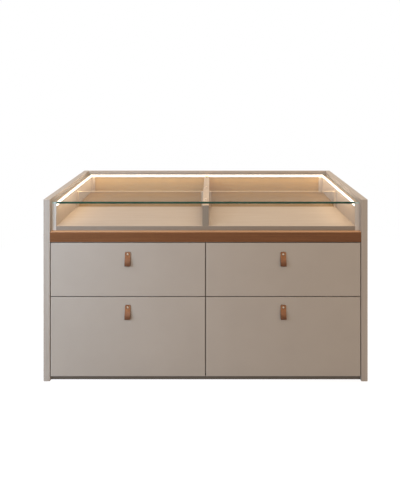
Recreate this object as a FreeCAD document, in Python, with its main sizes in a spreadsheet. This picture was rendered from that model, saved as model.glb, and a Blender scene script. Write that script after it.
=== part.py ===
"""Closet island: four drawers with leather pulls below a lit display case under a loose glass top.

Frame: +X to the right, +Y to the back, +Z up. The origin is on the floor, in the middle of the
whole island with its pulls, so the drawers open towards -Y. Every length is in millimetres.
"""
import FreeCAD, Part
import math
import os
import re
import Sketcher
from FreeCAD import Vector

# ---------------------------------------------------------------- driving sizes
SIZES = {
    # the whole island
    "width": 1600,
    "depth": 600,
    "height": 897,
    "gable": 32,
    "gable_round": 2,
    "board": 18,
    "set_back": 22,          # carcass behind the gables' front edges
    "ledge": 22,             # display case behind them
    "edge_round": 1.5,
    # floor, plinth and feet
    "base_low": 22,
    "plinth_back": 13,       # plinth behind the gables' front edges
    "foot_disc": 20,
    "foot_disc_high": 6,
    "foot_stem": 9,          # across the flats of the hexagon
    "foot_inset": 90,
    # drawer fronts and the wood band above them
    "front": 20,
    "front_low": 25,
    "reveal": 4,
    "centre_gap": 4,
    "lower_front": 391,
    "upper_front": 263,
    "band_high": 49,
    # display case
    "case_low": 736,
    "case_floor": 21,
    "case_wall": 22,
    "case_top": 869,
    "divider": 32,
    "divider_top": 861,
    "post_wide": 22,
    "post_deep": 12,
    "pane": 6,
    "pane_back": 288,        # from the case's front to the panes
    "pane_high": 81,
    "pane_free": 0.5,
    "channel": 12,
    "channel_wall": 1.5,
    "bumper": 5,
    "bumper_in": 56,         # from the divider's ends to its outer pads
    # glass top
    "glass": 10,
    "glass_free": 1,
    "glass_edge": 0.8,
    # light strip
    "led_high": 16,
    "led_deep": 10,
    "led_wall": 1.2,
    "led_start": 6,          # side strips behind the case's front
    "diffuser": 1.5,
    "tape": 1.6,
    "tape_high": 10,
    "driver_long": 160,
    "driver_high": 45,
    "driver_deep": 22,
    "driver_low": 600,
    "driver_edge": 2,
    "lead": 2.5,             # radii of the lead, its bores and the grommet
    "lead_bore": 3.5,
    "lead_in": 14,           # from the case wall to the lead
    "lead_back": 6,          # from the back panel to the lead
    "grommet_in": 108,
    "grommet_back": 42,
    "grommet_bore": 10,
    "grommet_neck": 15,
    "grommet_flange": 19,
    "grommet_lip": 2,
    # drawer boxes
    "box_wall": 16,
    "box_long": 510,
    "upper_box_low": 440,
    "upper_box": 190,
    "lower_box_low": 62,
    "lower_box": 300,
    "bottom": 8,
    "bottom_up": 12,
    "groove": 6,
    # three-part ball runners
    "runner_deep": 12.7,
    "runner_high": 45,
    "runner_long": 500,
    "runner_start": 4,       # behind the carcass front
    "runner_wall": 1.2,
    "runner_up": 60,         # runner's middle above the drawer box's lower edge
    "middle_high": 35,
    "middle_in": 2.6,
    "inner_high": 29,
    "inner_in": 5,
    "runner_lip": 3,         # how far the members' edges are folded towards the balls
    "inner_lip": 2,
    # leather pulls
    "pull_wide": 27,
    "pull_high": 68,
    "pull_reach": 17,
    "pull_split": 46,        # height of the point where the two layers part
    "pull_seam": 0.4,        # width of the gap between the layers at its top
    "leather": 2.6,
    "pull_corner": 4,
    "upper_pull_drop": 44,
    "lower_pull_drop": 38,
    "screw_drop": 10.5,
    "screw_head": 5.5,
    "screw_dome": 3,
    "screw_bevel": 1.8,
    "screw_shank": 2,
    "screw_free": 0.15,
    "screw_deep": 15,
}

doc = FreeCAD.newDocument("closet_island")
sheet = doc.addObject("Spreadsheet::Sheet", "Sizes")
for row, (word, number) in enumerate(SIZES.items(), start=1):
    sheet.set("A%d" % row, str(number))
    sheet.setAlias("A%d" % row, word)
doc.recompute()

# Places that many pieces share, written as sums of the sheet's words.
FRONT_Y = "(pull_reach - depth) / 2"                 # the gables' front edges
CARCASS_Y = FRONT_Y + " + set_back"                  # the carcass's front
CARCASS_DEPTH = "(depth - set_back - board)"         # from there to the back panel
CASE_Y = FRONT_Y + " + ledge"                        # the display case's front
CASE_DEPTH = "(depth - ledge - board)"
BACK_Y = CASE_Y + " + " + CASE_DEPTH                 # the back panel's inner face
INNER_X = "(width / 2 - gable)"                      # the gables' inner faces
CASE_X = "(width / 2 - gable - case_wall)"           # the case walls' inner faces
FLOOR_TOP = "(case_low + case_floor)"                # the display floor
LED_LOW = "(case_top - led_high)"
LEAD_X = "-" + CASE_X + " + lead_in"
LEAD_Y = BACK_Y + " - lead_back"

NEAR = 0.01                  # places closer than this are taken as the same

parts = []


# ---------------------------------------------------------------- helpers
def bind(text):
    """Turn a sum of the sheet's words into an expression that reads the sheet."""
    return re.sub(r"\b(?!sqrt\b)[a-z][a-z_]*", lambda word: "Sizes." + word.group(), text)


def read(word):
    """The number that the sheet holds for a word."""
    return float(sheet.get(word))


def place(piece, x, y, z):
    """Bind a piece's position to the sheet."""
    for axis, text in zip("xyz", (x, y, z)):
        piece.setExpression("Placement.Base." + axis, bind(text))


def keep(piece, name):
    """List a finished sub-part under the name that its file gets."""
    piece.Label = name
    parts.append(piece)
    return piece


def new_body(name):
    return doc.addObject("PartDesign::Body", name + "_body")


def new_sketch(body, role, name):
    """A sketch on one of the body's own origin planes."""
    sketch = body.newObject("Sketcher::SketchObject", name)
    plane = [item for item in body.Origin.OriginFeatures if item.Role == role][0]
    sketch.AttachmentSupport = (plane, "")
    sketch.MapMode = "FlatFace"
    return sketch


def draw(sketch, points):
    """A closed outline of straight lines, whose corners are pairs of sums of the sheet's words."""
    count = len(points)
    first = sketch.GeometryCount
    spin = FreeCAD.Rotation(Vector(0, 0, 1), 360.0 / count)
    around = [Vector(10, 0, 0)]
    for _ in range(count):
        around.append(spin.multVec(around[-1]))
    for index in range(count):
        sketch.addGeometry(Part.LineSegment(around[index], around[index + 1]))
    for index in range(count):
        following = first + (index + 1) % count
        sketch.addConstraint(Sketcher.Constraint("Coincident", first + index, 2, following, 1))
    for index, corner in enumerate(points):
        for kind, axis_line, text in zip(("DistanceX", "DistanceY"), (-2, -1), corner):
            if text == "0":
                zero = Sketcher.Constraint("PointOnObject", first + index, 1, axis_line)
                sketch.addConstraint(zero)
            else:
                held = sketch.addConstraint(
                    Sketcher.Constraint(kind, -1, 1, first + index, 1, 1.0))
                sketch.setExpression("Constraints[%d]" % held, bind(text))


def rectangle(sketch, left, low, right, high):
    draw(sketch, [(left, low), (right, low), (right, high), (left, high)])


def circle(sketch, x, y, radius):
    """A circle whose centre and radius are sums of the sheet's words."""
    index = sketch.addGeometry(Part.Circle(Vector(1, 1, 0), Vector(0, 0, 1), 1))
    for kind, axis_line, text in (("DistanceX", -2, x), ("DistanceY", -1, y)):
        if text == "0":
            sketch.addConstraint(Sketcher.Constraint("PointOnObject", index, 3, axis_line))
        else:
            held = sketch.addConstraint(Sketcher.Constraint(kind, -1, 1, index, 3, 1.0))
            sketch.setExpression("Constraints[%d]" % held, bind(text))
    held = sketch.addConstraint(Sketcher.Constraint("Radius", index, 1.0))
    sketch.setExpression("Constraints[%d]" % held, bind(radius))


def pad(body, sketch, length):
    feature = body.newObject("PartDesign::Pad", sketch.Name + "_pad")
    feature.Profile = sketch
    feature.setExpression("Length", bind(length))
    sketch.Visibility = False
    return feature


def pocket(body, sketch, length=None, turned=False):
    """Cut a sketch away, to a depth or through everything, and check that it cut."""
    before = body.Tip.Shape.Volume
    feature = body.newObject("PartDesign::Pocket", sketch.Name + "_pocket")
    feature.Profile = sketch
    feature.Reversed = turned
    if length is None:
        feature.Type = "ThroughAll"
    else:
        feature.setExpression("Length", bind(length))
    doc.recompute()
    if feature.Shape.Volume > before - 1:
        raise ValueError(feature.Name + " cuts nothing")
    return feature


def soften(body, wanted, radius="edge_round", kind="Fillet"):
    """Round or chamfer the edges of a body that a test picks by their middle and direction."""
    base = body.Tip
    names = []
    for index, edge in enumerate(base.Shape.Edges, start=1):
        middle = edge.valueAt((edge.FirstParameter + edge.LastParameter) / 2)
        if wanted(middle, edge):
            names.append("Edge%d" % index)
    feature = body.newObject("PartDesign::" + kind, body.Name + "_" + kind.lower())
    feature.Base = (base, names)
    feature.setExpression("Radius" if kind == "Fillet" else "Size", bind(radius))
    doc.recompute()
    return feature


def box_body(name, size, low):
    """A body with one rectangular pad: its size, and the place of its low corner."""
    body = new_body(name)
    sketch = new_sketch(body, "XY_Plane", name + "_outline")
    rectangle(sketch, "0", "0", size[0], size[1])
    pad(body, sketch, size[2])
    place(body, *low)
    doc.recompute()
    return body


def group(name, members):
    """Several like solids that share one node."""
    compound = doc.addObject("Part::Compound", name + "_group")
    compound.Links = members
    return keep(compound, name)


def on_plane(axis, value):
    """A test for edges that lie in a plane, in the body's own frame."""
    def test(_middle, edge):
        ends = [getattr(vertex.Point, axis) for vertex in edge.Vertexes]
        return all(abs(end - value) < NEAR for end in ends)
    return test


# ---------------------------------------------------------------- carcass
def gables():
    """Full-height end panels whose edges are softened all round but at the floor."""
    for side, left in (("left", "-width / 2"), ("right", "width / 2 - gable")):
        body = box_body("gable_" + side, ("gable", "depth", "height"), (left, FRONT_Y, "0"))
        soften(body, lambda middle, edge: middle.z > NEAR, "gable_round")
        keep(body, "gable_" + side)


def back_panel():
    """The back, between the gables and as high as they are."""
    body = box_body("back_panel", ("2 * " + INNER_X, "board", "height"),
                    ("-" + INNER_X, BACK_Y, "0"))
    top = on_plane("z", read("height"))
    soften(body, lambda middle, edge: top(middle, edge) and edge.Length > read("gable"))
    keep(body, "back_panel")


def base_board():
    """The carcass floor, with a round cut-out for the cable grommet."""
    body = box_body("base_board", ("2 * " + INNER_X, CARCASS_DEPTH, "board"),
                    ("-" + INNER_X, CARCASS_Y, "base_low"))
    hole = new_sketch(body, "XY_Plane", "grommet_hole")
    circle(hole, "grommet_in", CARCASS_DEPTH + " - grommet_back", "grommet_neck")
    pocket(body, hole, turned=True)
    keep(body, "base_board")


def plinth():
    """The kick board, which stands further forward than the base board that it props."""
    body = box_body("plinth", ("2 * " + INNER_X, "board", "base_low"),
                    ("-" + INNER_X, FRONT_Y + " + plinth_back", "0"))
    keep(body, "plinth")


def centre_partition():
    """The upright between the two columns of drawers."""
    high = "case_low - base_low - 2 * board"
    body = box_body("centre_partition", ("board", CARCASS_DEPTH, high),
                    ("-board / 2", CARCASS_Y, "base_low + board"))
    keep(body, "centre_partition")


def carcass_top():
    """The board under the display case, bored for the light's lead."""
    body = box_body("carcass_top", ("2 * " + INNER_X, CARCASS_DEPTH, "board"),
                    ("-" + INNER_X, CARCASS_Y, "case_low - board"))
    hole = new_sketch(body, "XY_Plane", "carcass_lead_hole")
    circle(hole, "case_wall + lead_in", CARCASS_DEPTH + " - lead_back", "lead_bore")
    pocket(body, hole, turned=True)
    keep(body, "carcass_top")


def walnut_band():
    """The stained band whose top is the ledge in front of the display case."""
    body = box_body("walnut_band", ("2 * " + INNER_X, "set_back", "band_high"),
                    ("-" + INNER_X, FRONT_Y, "case_low - band_high"))
    front = on_plane("y", 0)
    soften(body, lambda middle, edge: front(middle, edge) and edge.Length > read("gable") * 2)
    keep(body, "walnut_band")


def hexagon(sketch, flats):
    """A regular hexagon around the origin with two corners on the X axis."""
    half = "(%s) / 2" % flats
    corner = "(%s) / sqrt(3)" % flats
    middle = "(%s) / sqrt(12)" % flats
    draw(sketch, [(corner, "0"), (middle, half), ("-" + middle, half), ("-" + corner, "0"),
                  ("-" + middle, "-" + half), (middle, "-" + half)])


def levelling_feet():
    """Six feet: a round disc on the floor and a hexagonal stem up to the base board."""
    feet = []
    for along, y in (("front", CARCASS_Y + " + foot_inset"), ("back", BACK_Y + " - foot_inset")):
        for side, x in (("left", "foot_inset - " + INNER_X), ("middle", "0"),
                        ("right", INNER_X + " - foot_inset")):
            name = "foot_%s_%s" % (along, side)
            body = new_body(name)
            disc = new_sketch(body, "XY_Plane", name + "_disc")
            circle(disc, "0", "0", "foot_disc")
            pad(body, disc, "foot_disc_high")
            stem = new_sketch(body, "XY_Plane", name + "_stem")
            hexagon(stem, "foot_stem")
            pad(body, stem, "base_low")
            place(body, x, y, "0")
            feet.append(body)
    group("levelling_feet", feet)


def cable_grommet():
    """A rubber ring in the base board, where a mains lead comes up from the floor."""
    body = new_body("cable_grommet")
    half = new_sketch(body, "XZ_Plane", "grommet_profile")
    draw(half, [("grommet_bore", "0"), ("grommet_neck", "0"), ("grommet_neck", "board"),
                ("grommet_flange", "board"), ("grommet_flange", "board + grommet_lip"),
                ("grommet_bore", "board + grommet_lip")])
    turned = body.newObject("PartDesign::Revolution", "grommet_turned")
    turned.Profile = half
    turned.ReferenceAxis = (half, ["V_Axis"])
    turned.Angle = 360
    place(body, "grommet_in - " + INNER_X, BACK_Y + " - grommet_back", "base_low")
    keep(body, "cable_grommet")


# ---------------------------------------------------------------- display case
def display_walls():
    """Side walls of the case, each with a rebate for its light strip along the top inner edge."""
    for side, left in (("left", "-" + INNER_X), ("right", CASE_X)):
        name = "display_wall_" + side
        body = box_body(name, ("case_wall", CASE_DEPTH, "case_top - case_low"),
                        (left, CASE_Y, "case_low"))
        rebate = new_sketch(body, "XY_Plane", name + "_rebate")
        rebate.setExpression("AttachmentOffset.Base.z", bind("case_top - case_low - led_high"))
        edges = ("case_wall - led_deep", "case_wall") if side == "left" else ("0", "led_deep")
        rectangle(rebate, edges[0], "led_start", edges[1], CASE_DEPTH)
        pocket(body, rebate, "led_high", turned=True)
        keep(body, name)


def display_floor():
    """The case floor, whose front edge shows above the ledge, bored for the light's lead."""
    body = box_body("display_floor", ("2 * " + CASE_X, CASE_DEPTH, "case_floor"),
                    ("-" + CASE_X, CASE_Y, "case_low"))
    hole = new_sketch(body, "XY_Plane", "floor_lead_hole")
    circle(hole, "lead_in", CASE_DEPTH + " - lead_back", "lead_bore")
    pocket(body, hole, turned=True)
    keep(body, "display_floor")


def display_divider():
    """The thick divider, cut back at its top rear corner to clear the rear light strip."""
    body = box_body("display_divider", ("divider", CASE_DEPTH, "divider_top - " + FLOOR_TOP),
                    ("-divider / 2", CASE_Y, FLOOR_TOP))
    notch = new_sketch(body, "XY_Plane", "divider_notch")
    notch.setExpression("AttachmentOffset.Base.z", bind(LED_LOW + " - " + FLOOR_TOP))
    rectangle(notch, "0", CASE_DEPTH + " - led_deep", "divider", CASE_DEPTH)
    pocket(body, notch, "led_high", turned=True)
    keep(body, "display_divider")


def corner_posts():
    """Flat posts in the rear corners of the case; the left one is bored for the light's lead."""
    posts = []
    for side, x in (("left", "-" + CASE_X), ("right", CASE_X + " - post_wide")):
        body = box_body("post_" + side,
                        ("post_wide", "post_deep", LED_LOW + " - " + FLOOR_TOP),
                        (x, BACK_Y + " - post_deep", FLOOR_TOP))
        if side == "left":
            hole = new_sketch(body, "XY_Plane", "post_lead_hole")
            circle(hole, "lead_in", "post_deep - lead_back", "lead_bore")
            pocket(body, hole, turned=True)
        posts.append(body)
    group("corner_posts", posts)


def glass_panes():
    """Low clear panes across the middle of each compartment."""
    long = CASE_X + " - divider / 2 - 2 * pane_free - 2 * channel_wall"
    starts = {"left": "-" + CASE_X + " + pane_free + channel_wall",
              "right": "divider / 2 + pane_free + channel_wall"}
    for side, x in starts.items():
        body = box_body("glass_pane_" + side, (long, "pane", "pane_high"),
                        (x, CASE_Y + " + pane_back", FLOOR_TOP))
        soften(body, on_plane("z", read("pane_high")), "glass_edge", "Chamfer")
        keep(body, "glass_pane_" + side)


def pane_channels():
    """Upright U-channels that hold both ends of each pane."""
    channels = []
    slot_low = "(channel - pane) / 2 - pane_free"
    slot_high = "(channel + pane) / 2 + pane_free"
    ends = (("-" + CASE_X, True), ("-divider / 2 - channel", False),
            ("divider / 2", True), (CASE_X + " - channel", False))
    for index, (x, opens_right) in enumerate(ends, start=1):
        name = "channel_%d" % index
        body = new_body(name)
        section = new_sketch(body, "XY_Plane", name + "_section")
        if opens_right:
            web, mouth = "channel_wall", "channel"
            back = "0"
        else:
            web, mouth = "channel - channel_wall", "0"
            back = "channel"
        draw(section, [(back, "0"), (mouth, "0"), (mouth, slot_low), (web, slot_low),
                       (web, slot_high), (mouth, slot_high), (mouth, "channel"),
                       (back, "channel")])
        pad(body, section, "pane_high")
        place(body, x, CASE_Y + " + pane_back + pane / 2 - channel / 2", FLOOR_TOP)
        channels.append(body)
    group("pane_channels", channels)


def divider_bumpers():
    """Clear pads on the divider that carry the middle of the glass top."""
    bumpers = []
    places = (CASE_Y + " + bumper_in", CASE_Y + " + " + CASE_DEPTH + " / 2",
              BACK_Y + " - bumper_in")
    for index, y in enumerate(places, start=1):
        pin = doc.addObject("Part::Cylinder", "bumper_%d" % index)
        pin.setExpression("Radius", bind("bumper"))
        pin.setExpression("Height", bind("case_top - divider_top"))
        place(pin, "0", y, "divider_top")
        bumpers.append(pin)
    group("divider_bumpers", bumpers)


def glass_top():
    """The loose glass top, a step below the gables, with polished edges."""
    wide = "2 * " + INNER_X + " - 2 * glass_free"
    body = box_body("glass_top", (wide, CASE_DEPTH + " - glass_free", "glass"),
                    ("-" + INNER_X + " + glass_free", CASE_Y, "case_top"))
    top = on_plane("z", read("glass"))
    under = on_plane("z", 0)
    soften(body, lambda middle, edge: top(middle, edge) or under(middle, edge),
           "glass_edge", "Chamfer")
    keep(body, "glass_top")


# ---------------------------------------------------------------- light
def strip_runs():
    """The three light strips: name, low corner, length, and whether they run along Y."""
    side_long = CASE_DEPTH + " - led_start"
    return (
        ("left", ("-" + CASE_X + " - led_deep", CASE_Y + " + led_start", LED_LOW), side_long),
        ("right", (CASE_X, CASE_Y + " + led_start", LED_LOW), side_long),
        ("back", ("-" + CASE_X, BACK_Y + " - led_deep", LED_LOW), "2 * " + CASE_X),
    )


def led_section(sketch, side, what):
    """The section of a profile, tape or diffuser, seen along the strip; u is its depth."""
    near, far = "led_wall", "led_high - led_wall"
    middle = "led_high / 2"
    if what == "profile":
        inward = [("0", "0"), ("led_deep", "0"), ("led_deep", near), ("led_wall", near),
                  ("led_wall", far), ("led_deep", far), ("led_deep", "led_high"),
                  ("0", "led_high")]
    elif what == "tape":
        low, high = middle + " - tape_high / 2", middle + " + tape_high / 2"
        inward = [("led_wall", low), ("led_wall + tape", low), ("led_wall + tape", high),
                  ("led_wall", high)]
    else:
        inward = [("led_deep - diffuser", near), ("led_deep", near), ("led_deep", far),
                  ("led_deep - diffuser", far)]
    if side == "left":
        draw(sketch, inward)
    else:
        flipped = []
        for depth, up in inward:
            flipped.append(("0" if depth == "led_deep" else "led_deep - (%s)" % depth, up))
        draw(sketch, flipped)


def light_strips():
    """U-profiles of aluminium, each with a light tape on its web and a diffuser in its mouth."""
    for what, node in (("profile", "led_profiles"), ("tape", "led_tapes"),
                       ("diffuser", "led_diffusers")):
        pieces = []
        for side, (x, y, z), long in strip_runs():
            name = "%s_%s" % (what, side)
            body = new_body(name)
            plane = "YZ_Plane" if side == "back" else "XZ_Plane"
            section = new_sketch(body, plane, name + "_section")
            led_section(section, side, what)
            strip = pad(body, section, long)
            strip.Reversed = side != "back"
            place(body, x, y, z)
            pieces.append(body)
        group(node, pieces)


def led_driver():
    """The power supply on the back panel behind the left drawers."""
    body = box_body("led_driver", ("driver_long", "driver_deep", "driver_high"),
                    (LEAD_X + " - lead_in / 2", BACK_Y + " - driver_deep", "driver_low"))
    soften(body, on_plane("y", 0), "driver_edge", "Chamfer")
    keep(body, "led_driver")


def led_lead():
    """The low-voltage lead, straight up through the boards and the left corner post."""
    lead = doc.addObject("Part::Cylinder", "led_lead_tube")
    lead.setExpression("Radius", bind("lead"))
    lead.setExpression("Height", bind(LED_LOW + " - driver_low - driver_high"))
    place(lead, LEAD_X, LEAD_Y, "driver_low + driver_high")
    keep(lead, "led_lead")


# ---------------------------------------------------------------- drawers
COLUMNS = {
    "left": {"front_x": "reveal - " + INNER_X, "outer_x": "-" + INNER_X,
             "inner_x": "-board / 2"},
    "right": {"front_x": "centre_gap / 2", "outer_x": "board / 2", "inner_x": INNER_X},
}
ROWS = {
    "upper": {"front_low": "front_low + lower_front + reveal", "front_high": "upper_front",
              "box_low": "upper_box_low", "box_high": "upper_box", "drop": "upper_pull_drop"},
    "lower": {"front_low": "front_low", "front_high": "lower_front",
              "box_low": "lower_box_low", "box_high": "lower_box", "drop": "lower_pull_drop"},
}
FRONT_WIDE = "(" + INNER_X + " - reveal - centre_gap / 2)"
BAY_WIDE = "(" + INNER_X + " - board / 2)"
BOX_WIDE = "(" + BAY_WIDE + " - 2 * runner_deep)"
BOX_Y = FRONT_Y + " + front"


def drawer_front(name, column, row):
    """A flat front, softened around its face and bored for the pull's screw."""
    body = box_body(name, (FRONT_WIDE, "front", row["front_high"]),
                    (column["front_x"], FRONT_Y, row["front_low"]))
    soften(body, on_plane("y", 0))
    hole = new_sketch(body, "XZ_Plane", name + "_screw_hole")
    circle(hole, FRONT_WIDE + " / 2", "%s - %s - screw_drop" % (row["front_high"], row["drop"]),
           "screw_shank + screw_free")
    pocket(body, hole, "screw_deep + screw_free")
    keep(body, name)


def drawer_box(name, column, row):
    """Grooved sides, two ends between them and a thin bottom held in the grooves."""
    left = column["outer_x"] + " + runner_deep"
    high = row["box_high"]
    sides = []
    for hand, x, groove in (("a", left, ("box_wall - groove", "box_wall")),
                            ("b", left + " + " + BOX_WIDE + " - box_wall", ("0", "groove"))):
        side = box_body("%s_side_%s" % (name, hand), ("box_wall", "box_long", high),
                        (x, BOX_Y, row["box_low"]))
        slot = new_sketch(side, "XY_Plane", "%s_groove_%s" % (name, hand))
        slot.setExpression("AttachmentOffset.Base.z", bind("bottom_up"))
        rectangle(slot, groove[0], "0", groove[1], "box_long")
        pocket(side, slot, "bottom", turned=True)
        sides.append(side)
    group(name + "_box_sides", sides)
    ends = []
    for hand, y in (("front", BOX_Y), ("back", BOX_Y + " + box_long - box_wall")):
        end = box_body("%s_end_%s" % (name, hand),
                       (BOX_WIDE + " - 2 * box_wall", "box_wall",
                        high + " - bottom_up - bottom"),
                       (left + " + box_wall", y, row["box_low"] + " + bottom_up + bottom"))
        ends.append(end)
    group(name + "_box_ends", ends)
    bottom = box_body(name + "_bottom", (BOX_WIDE + " - 2 * (box_wall - groove)", "box_long",
                                         "bottom"),
                      (left + " + box_wall - groove", BOX_Y, row["box_low"] + " + bottom_up"))
    keep(bottom, name + "_box_bottom")


def runner_half(deep, folded_in):
    """Lower half of a runner member's section: depths from its web's back, and heights.

    The edges are folded in, or out on the drawer member, to hold the balls in their race.
    """
    near = "runner_wall"
    far = deep + " - runner_wall"
    if folded_in:
        fold = "runner_wall + runner_lip"
        return [("0", "0"), (deep, "0"), (deep, fold), (far, fold), (far, "runner_wall"),
                (near, "runner_wall")]
    top = "inner_lip + runner_wall"
    return [("0", "inner_lip"), (far, "inner_lip"), (far, "0"), (deep, "0"), (deep, top),
            (near, top)]


def runner_channel(name, high, deep, x, y, z, opens_right, folded_in):
    """One folded runner member: its height, depth, low corner and which way it opens."""
    body = new_body(name)
    section = new_sketch(body, "XZ_Plane", name + "_section")
    lower = []
    for across, up in runner_half(deep, folded_in):
        if not opens_right:
            across = "0" if across == deep else "%s - (%s)" % (deep, across)
        lower.append((across, up))
    upper = [(across, "%s - (%s)" % (high, up)) for across, up in reversed(lower)]
    draw(section, lower + upper)
    length = pad(body, section, "runner_long")
    length.Reversed = True
    place(body, x, y, z)
    return body


def drawer_runners(name, column, row):
    """Both runners of a drawer, as the cabinet, middle and drawer members, nested."""
    y = CARCASS_Y + " + runner_start"
    axis = row["box_low"] + " + runner_up"
    cabinet, middle, inner = [], [], []
    for hand in ("a", "b"):
        starts_low = hand == "a"
        wall = column["outer_x"] if starts_low else column["outer_x"] + " + " + BAY_WIDE
        members = (
            (cabinet, "cabinet", "runner_high", "(runner_deep - runner_wall)", "0", True),
            (middle, "middle", "middle_high", "(runner_deep - middle_in - runner_wall)",
             "middle_in", True),
            (inner, "inner", "inner_high", "(runner_deep - inner_in)", "inner_in", False),
        )
        for found, what, high, deep, start, from_wall in members:
            if starts_low:
                x = wall + " + " + start
            else:
                x = wall + " - " + start + " - " + deep
            opens_right = from_wall == starts_low
            z = axis + " - " + high + " / 2"
            found.append(runner_channel("%s_%s_%s" % (name, what, hand), high, deep, x, y, z,
                                        opens_right, from_wall))
    group(name + "_runner_middle", middle)
    group(name + "_runner_inner", inner)
    return cabinet


def strap_outline(depth, top, split, layer):
    """Outer and inner outlines of the folded strap from the side, in lines and tangent arcs.

    Both layers lie flat on each other down to the split. From there the front layer swings out
    in two equal arcs and comes back to the rear layer in a half circle, the fold.
    """
    fold = depth / 2
    swing = depth - 2 * layer
    fall = split - fold
    bend = (swing ** 2 + fall ** 2) / (4 * swing)
    turn = math.asin(fall / 2 / bend)

    def at(out, up):
        return Vector(0, -out, up)

    def swing_out(inward, gap):
        """One side of the swinging layer: its first point and its two arcs."""
        def upper(angle):
            radius = bend + inward
            return at(2 * layer + bend - radius * math.cos(angle),
                      split - radius * math.sin(angle))

        def lower(angle):
            radius = bend - inward
            return at(depth - bend + radius * math.cos(angle), fold + radius * math.sin(angle))

        start = math.acos(1 - gap / (bend + inward))
        return upper(start), [
            Part.Arc(upper(start), upper((start + turn) / 2), upper(turn)).toShape(),
            Part.Arc(lower(turn), lower(turn / 2), lower(0)).toShape(),
        ]

    outside, outer_arcs = swing_out(0, 0)
    inside, inner_arcs = swing_out(layer, read("pull_seam"))
    outer = Part.Wire([
        Part.makeLine(at(0, fold), at(0, top)),
        Part.makeLine(at(0, top), at(2 * layer, top)),
        Part.makeLine(at(2 * layer, top), outside),
        *outer_arcs,
        Part.Arc(at(depth, fold), at(fold, 0), at(0, fold)).toShape(),
    ])
    inner = Part.Wire([
        Part.makeLine(at(layer, fold), at(layer, inside.z)),
        Part.makeLine(at(layer, inside.z), inside),
        *inner_arcs,
        Part.Arc(at(depth - layer, fold), at(fold, layer), at(layer, fold)).toShape(),
    ])
    return outer, inner


def pull(name, column, row):
    """A folded leather strap and the domed screw that holds both its layers."""
    wide, layer, depth = read("pull_wide"), read("leather"), read("pull_reach")
    outer, inner = strap_outline(depth, read("pull_high"), read("pull_split"), layer)
    side = Part.makeFace([outer, inner], "Part::FaceMakerBullseye")
    loop = side.extrude(Vector(wide, 0, 0))
    corners = [edge for edge in loop.Edges
               if edge.Length < 2 * layer + NEAR
               and all(vertex.Z > read("pull_high") - NEAR for vertex in edge.Vertexes)]
    loop = loop.makeFillet(read("pull_corner"), corners)
    bore = Part.makeCylinder(read("screw_shank") + read("screw_free"), 4 * layer,
                             Vector(wide / 2, layer, read("pull_high") - read("screw_drop")),
                             Vector(0, -1, 0))
    strap = doc.addObject("Part::Feature", name + "_strap_shape")
    strap.Shape = loop.cut(bore)
    middle_x = column["front_x"] + " + " + FRONT_WIDE + " / 2"
    top = "%s + %s - %s" % (row["front_low"], row["front_high"], row["drop"])
    place(strap, middle_x + " - pull_wide / 2", FRONT_Y, top + " - pull_high")
    keep(strap, name + "_strap")

    body = new_body(name + "_screw")
    half = new_sketch(body, "XZ_Plane", name + "_screw_profile")
    draw(half, [("0", "0"), ("screw_shank", "0"),
                ("screw_shank", "screw_deep + 2 * leather"),
                ("screw_head", "screw_deep + 2 * leather"),
                ("screw_head", "screw_deep + 2 * leather + screw_dome"),
                ("0", "screw_deep + 2 * leather + screw_dome")])
    turned = body.newObject("PartDesign::Revolution", name + "_screw_turned")
    turned.Profile = half
    turned.ReferenceAxis = (half, ["V_Axis"])
    turned.Angle = 360
    doc.recompute()
    rim = on_plane("z", read("screw_deep") + 2 * read("leather") + read("screw_dome"))
    soften(body, rim, "screw_bevel", "Chamfer")
    body.Placement.Rotation = FreeCAD.Rotation(Vector(1, 0, 0), 90)
    place(body, middle_x, FRONT_Y + " + screw_deep", top + " - screw_drop")
    keep(body, name + "_strap_screw")


def drawers():
    """Four drawers, each with its front, box, runners and pull."""
    cabinet_members = []
    for level, row in ROWS.items():
        for side, column in COLUMNS.items():
            name = "%s_%s" % (level, side)
            drawer_front(name + "_front", column, row)
            drawer_box(name, column, row)
            cabinet_members += drawer_runners(name, column, row)
            pull(name, column, row)
    group("runner_cabinet_members", cabinet_members)


# ---------------------------------------------------------------- build, check and write
def write_parts():
    """Check every object, then write each sub-part to its own file."""
    doc.recompute()
    for item in doc.Objects:
        if "Invalid" in item.State or "Error" in item.State:
            raise ValueError("failed: %s %s" % (item.Name, item.State))
    for piece in parts:
        if piece.Shape.isNull() or not piece.Shape.isValid():
            raise ValueError("bad shape: " + piece.Label)
    os.makedirs("parts", exist_ok=True)
    for piece in parts:
        piece.Shape.exportStep("parts/%s.step" % piece.Label)
    print(len(parts), "sub-parts written")


gables()
back_panel()
base_board()
plinth()
centre_partition()
carcass_top()
walnut_band()
levelling_feet()
cable_grommet()
display_walls()
display_floor()
display_divider()
corner_posts()
glass_panes()
pane_channels()
divider_bumpers()
glass_top()
light_strips()
led_driver()
led_lead()
drawers()
write_parts()
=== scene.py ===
"""Finishes, leather loops and light of a closet island with drawers and a glazed display case.

The construction is loaded as a fixed frame at the top. Each operator finishes or models one group
of like pieces, and the last one sets up the floor, the lamps and the camera. All lengths are in
metres.
"""
import math

import bpy
from bpy.props import FloatProperty, FloatVectorProperty, PointerProperty
from mathutils import Matrix, Vector


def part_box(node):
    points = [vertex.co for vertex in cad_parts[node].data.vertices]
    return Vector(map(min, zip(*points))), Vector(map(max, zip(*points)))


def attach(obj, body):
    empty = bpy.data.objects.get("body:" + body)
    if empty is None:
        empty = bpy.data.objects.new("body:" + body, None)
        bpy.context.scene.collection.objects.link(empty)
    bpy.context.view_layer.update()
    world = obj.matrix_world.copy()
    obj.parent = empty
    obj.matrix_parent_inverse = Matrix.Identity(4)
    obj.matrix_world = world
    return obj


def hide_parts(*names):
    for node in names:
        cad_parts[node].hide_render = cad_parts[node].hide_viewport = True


bl_info = {
    "name": "Closet Island Finish",
    "version": (1, 0, 0),
    "blender": (4, 5, 0),
    "location": "3D View > Sidebar > Island",
    "description": "Finishes, leather loops, light and camera for a closet island",
    "category": "Object",
}

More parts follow.
